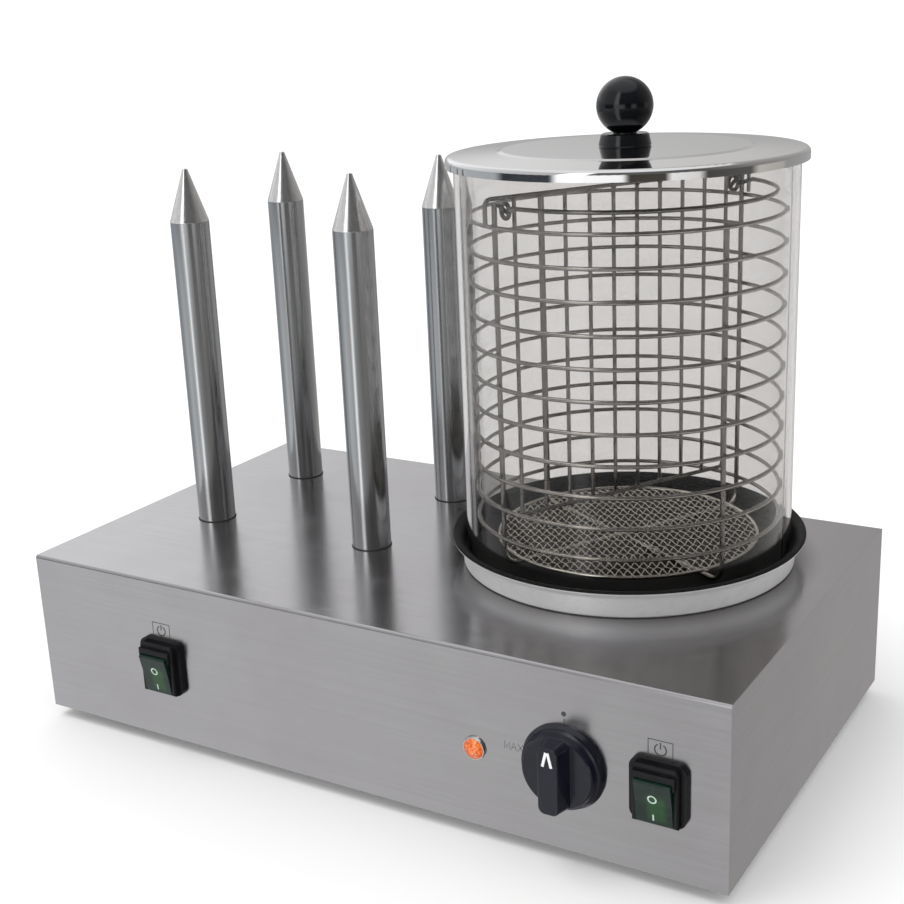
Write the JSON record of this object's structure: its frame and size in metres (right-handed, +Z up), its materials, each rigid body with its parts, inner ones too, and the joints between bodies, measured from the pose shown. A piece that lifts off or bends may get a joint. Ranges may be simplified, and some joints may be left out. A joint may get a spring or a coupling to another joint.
{
  "type": "hot dog steamer with bun spikes",
  "caption": "Counter-top hot dog warmer: steel cabinet with heated bun spikes, and a lidded glass cylinder with a wire basket over a water pan.",
  "frame": {"origin": "centre of the cabinet's footprint, on the plane the feet stand on", "axes": "+X to the right seen from the control panel, +Y to the rear, +Z up"},
  "size_m": [0.478, 0.314, 0.4066],
  "materials": {
    "cabinet_steel": "brushed stainless sheet, fine grain along the width",
    "hidden_steel": "plain zinc-plated sheet and screws",
    "spike_steel": "stainless tube with fine lengthways and ring marks",
    "spike_aluminium": "bright turned aluminium cone",
    "pan": "aluminium dish with a black non-stick coating inside and bare metal outside",
    "glass": "clear heat-resistant glass",
    "wire": "polished stainless wire",
    "mirror_steel": "mirror-polished stainless",
    "phenolic": "black moulded phenolic, glossy",
    "black_plastic": "satin black moulded plastic",
    "green_rocker": "dark green translucent plastic",
    "amber": "orange translucent lamp lens",
    "rubber": "moulded black rubber",
    "plated": "nickel-plated turned metal",
    "white_mark": "white printed inlay",
    "cast_aluminium": "machined cast aluminium",
    "element": "oxidised metal-sheathed heater",
    "copper": "bare copper tube and brass blades"
  },
  "bodies": {
    "housing": {"deck_shell": "cabinet_steel", "side_panel_left": "cabinet_steel", "side_panel_right": "cabinet_steel", "base_plate": "hidden_steel", "foot_screws": "hidden_steel", "base_screws": "hidden_steel", "clamp_bar": "hidden_steel", "clamp_nut": "hidden_steel", "spike_nuts": "hidden_steel", "thermostat_screws": "hidden_steel", "thermostat_body": "hidden_steel", "gland_locknut": "hidden_steel", "spike_tube_front_left": "spike_steel", "spike_tube_front_right": "spike_steel", "spike_tube_rear_left": "spike_steel", "spike_tube_rear_right": "spike_steel", "spike_tip_front_left": "spike_aluminium", "spike_tip_front_right": "spike_aluminium", "spike_tip_rear_left": "spike_aluminium", "spike_tip_rear_right": "spike_aluminium", "spike_heater_front_left": "element", "spike_heater_front_right": "element", "spike_heater_rear_left": "element", "spike_heater_rear_right": "element", "heating_element": "element", "rubber_feet": "rubber", "spike_seals": "rubber", "hot_plate": "cast_aluminium", "lamp_bezel": "plated", "switch_bezel_left": "black_plastic", "switch_bezel_right": "black_plastic", "dial_ring": "black_plastic", "gland_body": "black_plastic", "gland_dome": "black_plastic", "terminal_block": "black_plastic", "lamp_lens": "amber", "capillary_tube": "copper", "thermostat_bulb": "copper", "switch_terminals": "copper"},
    "knob": {"thermostat_knob": "black_plastic", "knob_pointer": "white_mark", "thermostat_shaft": "hidden_steel"},
    "left_rocker": {"rocker_left": "green_rocker"},
    "right_rocker": {"rocker_right": "green_rocker"},
    "pan": {"water_pan": "pan"},
    "glass": {"glass_cylinder": "glass"},
    "basket": {"basket_rings": "wire", "basket_main_upright": "wire", "basket_cross_upright": "wire", "basket_mesh": "wire", "basket_mesh_rim": "wire", "handle_pins": "wire"},
    "handle": {"basket_handle": "wire"},
    "divider": {"divider_frame": "wire", "divider_bars": "wire"},
    "lid": {"lid_plate": "mirror_steel", "lid_collar": "phenolic", "lid_ball": "phenolic", "lid_screw": "plated"}
  },
  "joints": [
    {"name": "knob_turn", "type": "hinge", "parent": "housing", "child": "knob", "pos_m": [0.146, -0.137, 0.059], "axis": [0, 1, 0], "range_deg": [0, 277]},
    {"name": "left_rocker_press", "type": "hinge", "parent": "housing", "child": "left_rocker", "pos_m": [-0.135, -0.1435, 0.0558], "axis": [-1, 0, 0], "range_deg": [0, 20]},
    {"name": "right_rocker_press", "type": "hinge", "parent": "housing", "child": "right_rocker", "pos_m": [0.201, -0.1435, 0.0558], "axis": [-1, 0, 0], "range_deg": [0, 20]},
    {"name": "pan_lift", "type": "slide", "parent": "housing", "child": "pan", "axis": [0, 0, 1], "range_m": [0, 0.1]},
    {"name": "glass_lift", "type": "slide", "parent": "pan", "child": "glass", "axis": [0, 0, 1], "range_m": [0, 0.06]},
    {"name": "basket_lift", "type": "slide", "parent": "glass", "child": "basket", "axis": [0, 0, 1], "range_m": [0, 0.25]},
    {"name": "handle_swing", "type": "hinge", "parent": "basket", "child": "handle", "pos_m": [0.108, 0.03, 0.3385], "axis": [-0.4848, -0.8746, 0], "range_deg": [0, 13]},
    {"name": "divider_lift", "type": "slide", "parent": "basket", "child": "divider", "axis": [0, 0, 1], "range_m": [0, 0.21]},
    {"name": "lid_lift", "type": "slide", "parent": "divider", "child": "lid", "axis": [0, 0, 1], "range_m": [0, 0.15]}
  ]
}
